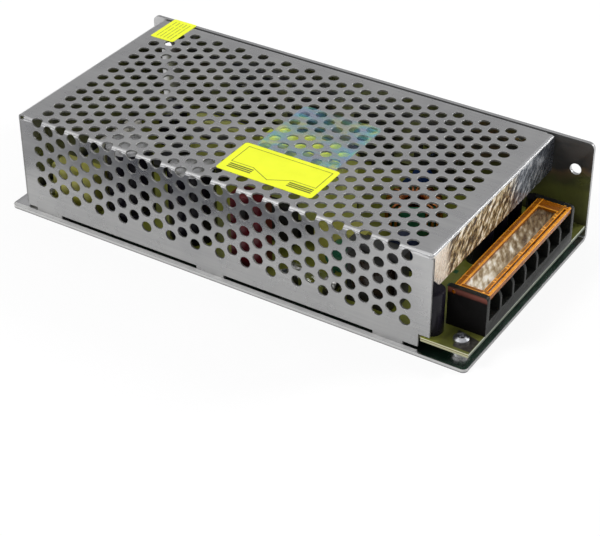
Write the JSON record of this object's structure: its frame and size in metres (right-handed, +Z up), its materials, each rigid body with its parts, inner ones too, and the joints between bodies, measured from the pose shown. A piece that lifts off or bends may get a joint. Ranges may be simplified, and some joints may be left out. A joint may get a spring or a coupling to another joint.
{
  "type": "mesh case switching power supply",
  "caption": "Long low switching power supply in a folded metal chassis with a perforated cover, a barrier terminal block under a hinged amber lid, and its circuit board inside.",
  "frame": {"origin": "middle of the case's underside", "axes": "+X along the case towards the terminal end, +Y from the perforated side wall towards the tall plain mounting wall, +Z up"},
  "size_m": [0.199, 0.098, 0.0421],
  "materials": {
    "chassis_metal": "satin",
    "cover_metal": "satin",
    "bright_screw": "bright nickel",
    "insulation": "translucent film",
    "board": "glass fibre laminate",
    "yellow_label": "fluorescent",
    "clear_film": "iridescent film",
    "terminal_plastic": "moulded",
    "amber_plastic": "transparent",
    "tinned_brass": "tinned",
    "terminal_steel": "plated",
    "trimmer_plastic": "moulded",
    "trimmer_rotor": "moulded",
    "lamp_green": "tinted lens",
    "selector_red": "moulded",
    "selector_black": "moulded",
    "sleeve_black": "shrink sleeve",
    "film_yellow": "moulded box",
    "epoxy_black": "moulded epoxy",
    "fuse_glass": "clear",
    "fuse_metal": "nickel plated",
    "disc_green": "dipped",
    "disc_blue": "dipped",
    "ferrite": "ground ferrite",
    "bobbin": "moulded",
    "yellow_tape": "polyester tape",
    "copper_winding": "enamelled copper",
    "ring_core": "painted powder iron",
    "cement": "matt",
    "heat_spreader": "extruded"
  },
  "bodies": {
    "case": {"chassis": "chassis_metal", "mesh_cover": "cover_metal", "cover_screws": "bright_screw", "board_screws": "bright_screw", "board_pillars": "bright_screw", "clamp_screws": "bright_screw", "insulation_sheet": "insulation", "circuit_board": "board", "voltage_label": "yellow_label", "inspection_label": "yellow_label", "clear_seal": "clear_film", "terminal_housing": "terminal_plastic", "terminal_contacts": "tinned_brass", "trimmer_body": "trimmer_plastic", "status_lamp": "lamp_green", "selector_body": "selector_red", "bulk_capacitors": "sleeve_black", "output_capacitors": "sleeve_black", "small_capacitors": "sleeve_black", "film_capacitors": "film_yellow", "bridge_rectifier": "epoxy_black", "power_transistors": "epoxy_black", "output_rectifiers": "epoxy_black", "control_chip": "epoxy_black", "fuse_glass": "fuse_glass", "fuse_caps": "fuse_metal", "fuse_clips": "fuse_metal", "inrush_thermistor": "disc_green", "surge_disc": "disc_blue", "noise_capacitors": "disc_blue", "transformer_core": "ferrite", "driver_core": "ferrite", "line_filter_core": "ferrite", "transformer_bobbin": "bobbin", "driver_bobbin": "bobbin", "line_filter_bobbin": "bobbin", "transformer_winding": "yellow_tape", "driver_winding": "yellow_tape", "line_filter_winding": "copper_winding", "inductor_winding": "copper_winding", "inductor_core": "ring_core", "power_resistors": "cement", "heat_spreader": "heat_spreader"},
    "terminal_lid": {"terminal_lid": "amber_plastic"},
    "trimmer_rotor": {"trimmer_rotor": "trimmer_rotor"},
    "selector_slider": {"selector_slider": "selector_black"},
    "terminal_screw_1": {"terminal_screw_1": "terminal_steel", "clamp_washer_1": "terminal_steel"},
    "terminal_screw_2": {"terminal_screw_2": "terminal_steel", "clamp_washer_2": "terminal_steel"},
    "terminal_screw_3": {"terminal_screw_3": "terminal_steel", "clamp_washer_3": "terminal_steel"},
    "terminal_screw_4": {"terminal_screw_4": "terminal_steel", "clamp_washer_4": "terminal_steel"},
    "terminal_screw_5": {"terminal_screw_5": "terminal_steel", "clamp_washer_5": "terminal_steel"},
    "terminal_screw_6": {"terminal_screw_6": "terminal_steel", "clamp_washer_6": "terminal_steel"},
    "terminal_screw_7": {"terminal_screw_7": "terminal_steel", "clamp_washer_7": "terminal_steel"}
  },
  "joints": [
    {"name": "lid_hinge", "type": "hinge", "parent": "case", "child": "terminal_lid", "pos_m": [0.0866, -0.0005, 0.0214], "axis": [0, -1, 0], "range_deg": [0, 90]},
    {"name": "trimmer_turn", "type": "hinge", "parent": "case", "child": "trimmer_rotor", "pos_m": [0.0922, 0.0415, 0.015], "axis": [0, 0, 1], "range_deg": [-130, 130]},
    {"name": "selector_slide", "type": "slide", "parent": "case", "child": "selector_slider", "axis": [1, 0, 0], "range_m": [0, 0.004]},
    {"name": "terminal_screw_1_lift", "type": "slide", "parent": "case", "child": "terminal_screw_1", "axis": [0, 0, 1], "range_m": [0, 0.0025]},
    {"name": "terminal_screw_2_lift", "type": "slide", "parent": "case", "child": "terminal_screw_2", "axis": [0, 0, 1], "range_m": [0, 0.0025]},
    {"name": "terminal_screw_3_lift", "type": "slide", "parent": "case", "child": "terminal_screw_3", "axis": [0, 0, 1], "range_m": [0, 0.0025]},
    {"name": "terminal_screw_4_lift", "type": "slide", "parent": "case", "child": "terminal_screw_4", "axis": [0, 0, 1], "range_m": [0, 0.0025]},
    {"name": "terminal_screw_5_lift", "type": "slide", "parent": "case", "child": "terminal_screw_5", "axis": [0, 0, 1], "range_m": [0, 0.0025]},
    {"name": "terminal_screw_6_lift", "type": "slide", "parent": "case", "child": "terminal_screw_6", "axis": [0, 0, 1], "range_m": [0, 0.0025]},
    {"name": "terminal_screw_7_lift", "type": "slide", "parent": "case", "child": "terminal_screw_7", "axis": [0, 0, 1], "range_m": [0, 0.0025]}
  ]
}
